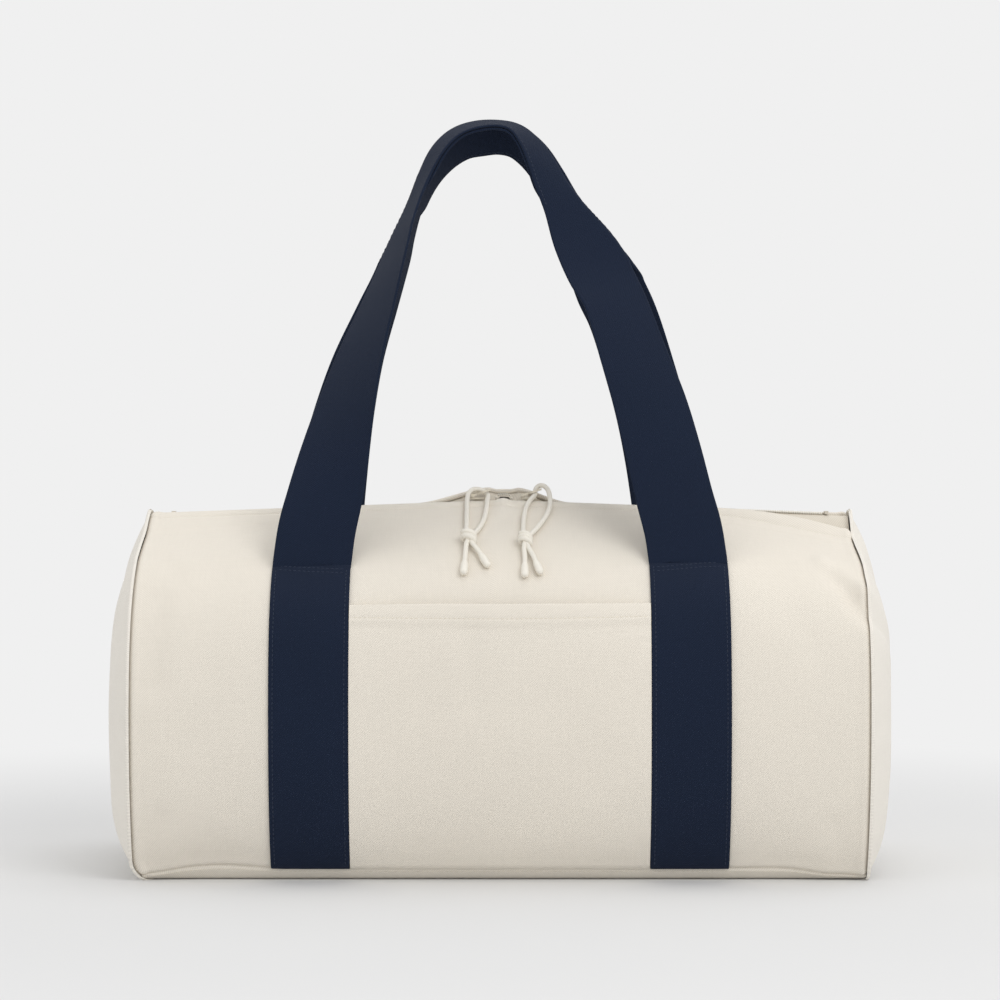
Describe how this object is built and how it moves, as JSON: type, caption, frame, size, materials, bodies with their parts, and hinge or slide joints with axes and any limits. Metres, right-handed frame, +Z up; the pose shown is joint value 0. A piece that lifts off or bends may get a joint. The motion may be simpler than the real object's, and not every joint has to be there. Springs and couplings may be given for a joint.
{
  "type": "barrel bag",
  "caption": "Natural canvas barrel bag with navy webbing straps and handles, a front pocket and a two-way zip with corded pullers.",
  "frame": {"origin": "middle of the bag's footprint, on the surface that it stands on", "axes": "+X along the zip, to the right as seen from the front; -Y is the front with the pocket; +Z up"},
  "size_m": [0.514, 0.247, 0.4949],
  "materials": {
    "canvas": "matte",
    "canvas_end": "matte",
    "navy_webbing": "matte",
    "zip_tape": "matte",
    "zip_coil": "satin",
    "slider_paint": "satin",
    "pull_cord": "matte",
    "cord_tip": "satin"
  },
  "bodies": {
    "bag": {"front_panel": "canvas", "back_panel": "canvas", "base_panel": "canvas", "end_panel_left": "canvas_end", "end_panel_right": "canvas_end", "front_pocket": "canvas", "zip_tape_front": "zip_tape", "zip_tape_back": "zip_tape", "zip_coil_front": "zip_coil", "zip_coil_back": "zip_coil", "zip_end_stops": "zip_coil", "front_strap_left": "navy_webbing", "front_strap_right": "navy_webbing", "back_strap_left": "navy_webbing", "back_strap_right": "navy_webbing"},
    "left_slider": {"slider_left": "slider_paint", "pull_cord_left": "pull_cord", "cord_tips_left": "cord_tip"},
    "right_slider": {"slider_right": "slider_paint", "pull_cord_right": "pull_cord", "cord_tips_right": "cord_tip"},
    "left_puller": {"puller_left": "slider_paint"},
    "right_puller": {"puller_right": "slider_paint"},
    "front_carry_loop": {"front_handle": "navy_webbing"},
    "back_carry_loop": {"back_handle": "navy_webbing"}
  },
  "joints": [
    {"name": "left_slide", "type": "slide", "parent": "bag", "child": "left_slider", "axis": [-0.9993, 0, -0.0384], "range_m": [-0.011, 0.196], "deforming": ["pull_cord_left", "cord_tips_left"]},
    {"name": "right_slide", "type": "slide", "parent": "bag", "child": "right_slider", "axis": [0.9992, 0, -0.0392], "range_m": [-0.011, 0.191], "deforming": ["pull_cord_right", "cord_tips_right"]},
    {"name": "left_pull_flip", "type": "hinge", "parent": "left_slider", "child": "left_puller", "pos_m": [-0.01827, 0, 0.24405], "axis": [0, -1, 0], "range_deg": [0, 144], "deforming": ["pull_cord_left", "cord_tips_left"]},
    {"name": "right_pull_flip", "type": "hinge", "parent": "right_slider", "child": "right_puller", "pos_m": [0.01548, 0, 0.24434], "axis": [0, -1, 0], "range_deg": [0, 144], "deforming": ["pull_cord_right", "cord_tips_right"]},
    {"name": "front_handle_fold", "type": "hinge", "parent": "bag", "child": "front_carry_loop", "pos_m": [0, -0.08773, 0.20164], "axis": [1, 0, 0], "range_deg": [0, 140]},
    {"name": "back_handle_fold", "type": "hinge", "parent": "bag", "child": "back_carry_loop", "pos_m": [0, 0.08773, 0.20164], "axis": [-1, 0, 0], "range_deg": [0, 140]}
  ]
}
